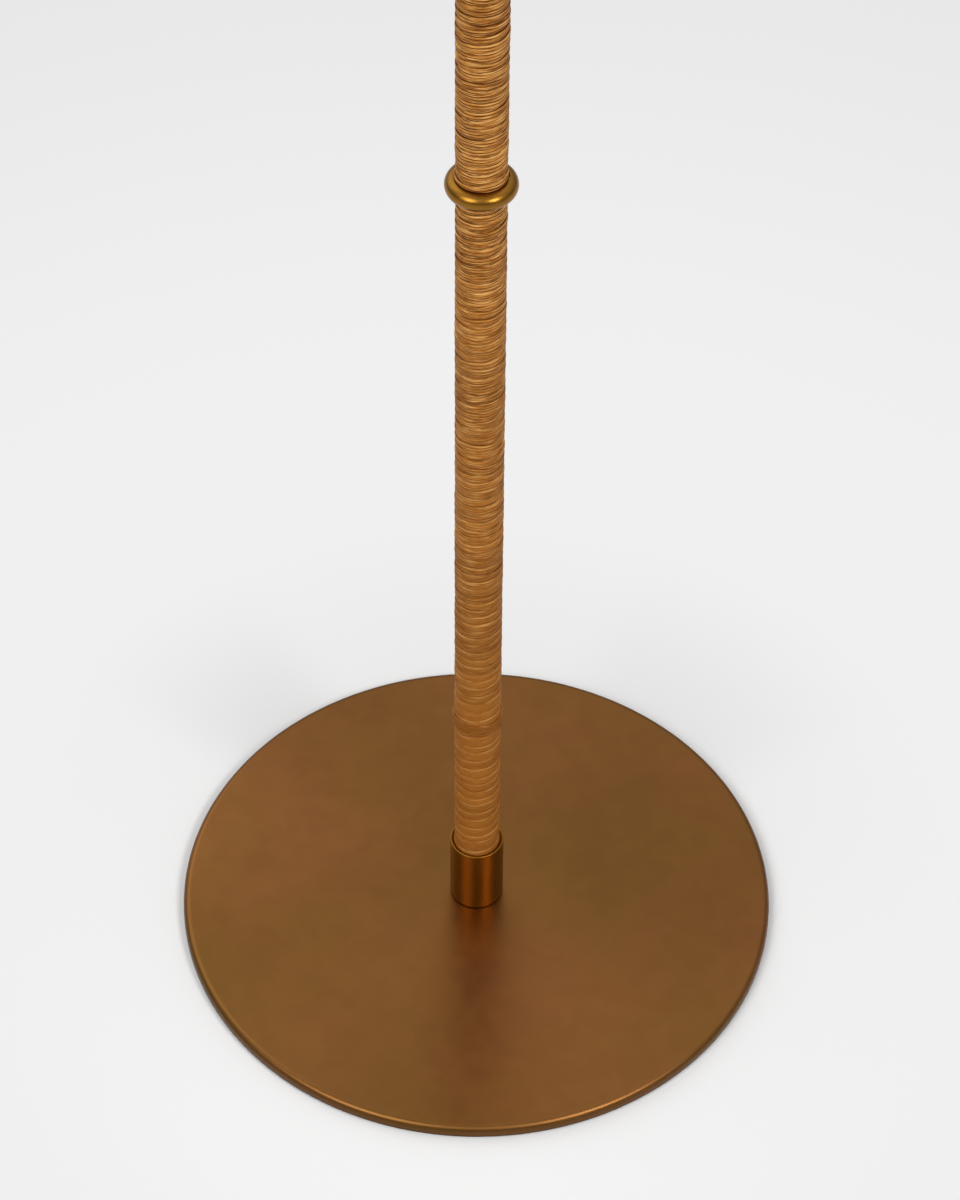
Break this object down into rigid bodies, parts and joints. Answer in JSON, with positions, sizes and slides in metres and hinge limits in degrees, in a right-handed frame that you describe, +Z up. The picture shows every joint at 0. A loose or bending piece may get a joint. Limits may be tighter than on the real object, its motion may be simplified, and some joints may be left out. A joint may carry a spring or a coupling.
{
  "type": "rattan floor lamp",
  "caption": "Floor lamp with a rattan-wound post between brass bead rings, a round brass base, a turn-knob socket with harp and bulb, and a tapered linen shade.",
  "frame": {"origin": "The centre of the underside of the base pad, on the floor.", "axes": "+Z runs up the post. The switch knob points to -Y and the cord outlet to +Y. +X is to the right, seen from the knob's side."},
  "size_m": [0.43, 0.43, 1.6433],
  "materials": {
    "aged_brass": "satin, aged and mottled brown",
    "warm_brass": "satin",
    "steel": "zinc plated",
    "rattan_peel": "thin satin lacquer over split rattan peel",
    "felt": "matt felt",
    "phenolic": "moulded, slightly shiny",
    "fibre_paper": "pressed fibre paper",
    "frosted_glass": "inside frosted",
    "linen": "plain weave linen over a stiff liner"
  },
  "bodies": {
    "stand": {"base_pad": "felt", "base_plate": "aged_brass", "base_screw": "steel", "foot_plug": "steel", "base_ferrule": "aged_brass", "cord_bushing": "phenolic", "lower_tube": "steel", "lower_winding": "rattan_peel", "lower_bead_ring": "warm_brass", "lower_coupler": "steel", "middle_tube": "steel", "middle_winding": "rattan_peel", "upper_bead_ring": "warm_brass", "upper_coupler": "steel", "upper_tube": "steel", "upper_winding": "rattan_peel", "top_ferrule": "aged_brass", "top_plug": "steel", "threaded_nipple": "steel", "harp_saddle": "aged_brass", "lock_nut": "steel", "socket_cap": "warm_brass", "socket_shell": "warm_brass", "socket_liner": "fibre_paper", "socket_body": "phenolic", "screw_shell": "warm_brass", "centre_contact": "warm_brass", "bulb_cap": "steel", "bulb_glass": "frosted_glass", "harp_bow": "aged_brass", "harp_stud": "aged_brass", "finial": "warm_brass"},
    "shade": {"shade_panel": "linen", "shade_bottom_ring": "aged_brass", "shade_spider": "aged_brass"},
    "switch": {"switch_shaft": "warm_brass", "switch_knob": "phenolic"},
    "sleeve_left": {"harp_sleeve_left": "aged_brass"},
    "sleeve_right": {"harp_sleeve_right": "aged_brass"}
  },
  "joints": [
    {"name": "shade_swivel", "type": "hinge", "parent": "stand", "child": "shade", "pos_m": [0, 0, 1.6034], "axis": [0, 0, 1], "continuous": true},
    {"name": "switch_turn", "type": "hinge", "parent": "stand", "child": "switch", "pos_m": [0, -0.031, 1.4131], "axis": [0, -1, 0], "continuous": true},
    {"name": "sleeve_left_slide", "type": "slide", "parent": "stand", "child": "sleeve_left", "axis": [0, 0, 1], "range_m": [0, 0.012]},
    {"name": "sleeve_right_slide", "type": "slide", "parent": "stand", "child": "sleeve_right", "axis": [0, 0, 1], "range_m": [0, 0.012]}
  ]
}
